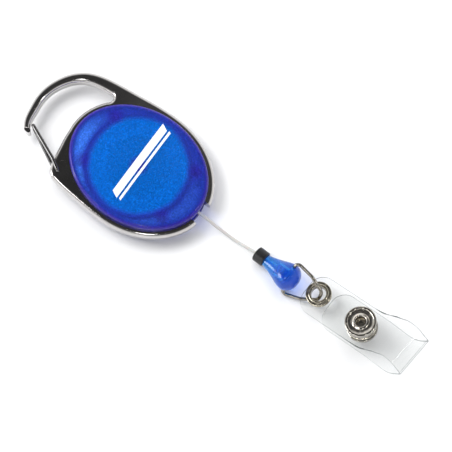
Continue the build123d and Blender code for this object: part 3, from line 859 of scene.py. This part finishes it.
# (height, grey): a bright tent low down, dark overhead
TENT_STOPS = [(0.0, 1.0), (0.42, 1.0), (0.60, 0.45), (0.78, 0.04), (1.0, 0.015)]
while len(height_ramp.color_ramp.elements) < len(TENT_STOPS):
    height_ramp.color_ramp.elements.new(1.0)
for element, (position, grey) in zip(height_ramp.color_ramp.elements, TENT_STOPS):
    element.position = position
    element.color = (grey, grey, grey, 1)
tree.links.new(parts.outputs["Z"], height_ramp.inputs[0])
tent = world_node("ShaderNodeBackground")
tent.inputs["Strength"].default_value = 1.0


def sky_direction(azimuth, elevation):
    """Unit vector towards a place in the sky; azimuth from +X, in degrees."""
    az, el = math.radians(azimuth), math.radians(elevation)
    return Vector((math.cos(el) * math.cos(az), math.cos(el) * math.sin(az), math.sin(el)))


def bright_patch(azimuth, elevation, low, high, strength):
    """Soft round window of light that only reflections see; low and high are its radii in degrees."""
    dot = world_node("ShaderNodeVectorMath", operation="DOT_PRODUCT")
    tree.links.new(direction.outputs["Generated"], dot.inputs[0])
    dot.inputs[1].default_value = sky_direction(azimuth, elevation)
    edge = world_node("ShaderNodeMapRange", interpolation_type="SMOOTHSTEP")
    tree.links.new(dot.outputs["Value"], edge.inputs["Value"])
    edge.inputs["From Min"].default_value = math.cos(math.radians(high))
    edge.inputs["From Max"].default_value = math.cos(math.radians(low))
    edge.inputs["To Max"].default_value = strength
    return edge.outputs[0]


# The dark overhead is uneven, so that flat chrome is not one flat tone
uneven = world_node("ShaderNodeTexNoise")
tree.links.new(direction.outputs["Generated"], uneven.inputs["Vector"])
uneven.inputs["Scale"].default_value = 9.0
uneven.inputs["Detail"].default_value = 2.0
uneven_part = world_node("ShaderNodeMapRange")
tree.links.new(uneven.outputs["Fac"], uneven_part.inputs["Value"])
for socket, number in zip(RANGE_SOCKETS, (0.4, 0.65, 0.0, 0.09)):
    uneven_part.inputs[socket].default_value = number
overhead = world_node("ShaderNodeMath", operation="ADD")
tree.links.new(height_ramp.outputs[0], overhead.inputs[0])
tree.links.new(uneven_part.outputs[0], overhead.inputs[1])
glow = overhead.outputs[0]
# Windows of light as (azimuth, elevation, inner radius, outer radius, strength)
PATCHES = ((150, 52, 4, 7, 6.0), (126, 20, 9, 16, 8.0), (205, 68, 3, 5, 13.0), (285, 48, 3, 5, 12.0))
for patch in PATCHES:
    adder = world_node("ShaderNodeMath", operation="ADD")
    tree.links.new(glow, adder.inputs[0])
    tree.links.new(bright_patch(*patch), adder.inputs[1])
    glow = adder.outputs[0]
tree.links.new(glow, tent.inputs["Color"])
# Everything but reflections sees one even tone
even = world_node("ShaderNodeBackground")
even.inputs["Color"].default_value = (0.97, 0.98, 1.0, 1)
even.inputs["Strength"].default_value = 0.60
path = world_node("ShaderNodeLightPath")
chooser = world_node("ShaderNodeMixShader")
tree.links.new(path.outputs["Is Glossy Ray"], chooser.inputs[0])
tree.links.new(even.outputs[0], chooser.inputs[1])
tree.links.new(tent.outputs[0], chooser.inputs[2])
world_out = world_node("ShaderNodeOutputWorld")
tree.links.new(chooser.outputs[0], world_out.inputs["Surface"])


def softbox(name, azimuth, elevation, distance, size, power):
    """Square area light aimed at the case."""
    data = bpy.data.lights.new(name, "AREA")
    data.shape = "SQUARE"
    data.size = size
    data.energy = power
    lamp = link(bpy.data.objects.new(name, data))
    away = sky_direction(azimuth, elevation)
    lamp.location = LAMP_AIM + away * distance
    lamp.rotation_euler = away.to_track_quat("Z", "Y").to_euler()
    return lamp


LAMP_AIM = mm(0, -30, 0)
LAMP_DISTANCE = 0.8
# Lamps as (name, azimuth, elevation, size, power); the tent stands in for them in reflections
for name, azimuth, elevation, size, power in (("key", 100, 54, 0.38, 4.3), ("fill", 25, 55, 0.6, 2.2)):
    softbox(name, azimuth, elevation, LAMP_DISTANCE, size, power).visible_glossy = False

camera_data = bpy.data.cameras.new("camera")
camera = link(bpy.data.objects.new("camera", camera_data))
CAMERA_DISTANCE = 0.5
CASE_MIDDLE = mm(0, 0, 9)
# Where the camera stands from the case's middle, and where it looks, as azimuth and elevation
AIM_AZ, AIM_EL = 37.927, -75.496
LOOK_AZ, LOOK_EL = 23.039, -77.402
ROLL = math.radians(12.543)
camera.location = CASE_MIDDLE - CAMERA_DISTANCE * sky_direction(AIM_AZ, AIM_EL)
forward = sky_direction(LOOK_AZ, LOOK_EL)
level = forward.cross(VERTICAL).normalized()
upward = level.cross(forward)
right = level * math.cos(ROLL) + upward * math.sin(ROLL)
top = upward * math.cos(ROLL) - level * math.sin(ROLL)
camera.rotation_euler = Matrix((right, top, -forward)).transposed().to_euler()
camera_data.sensor_width = 36.0
camera_data.lens = 120.9  # a long lens: the object's far end is hardly smaller
camera_data.clip_start = 0.01
bpy.context.scene.camera = camera
bpy.context.scene.view_settings.view_transform = "Standard"
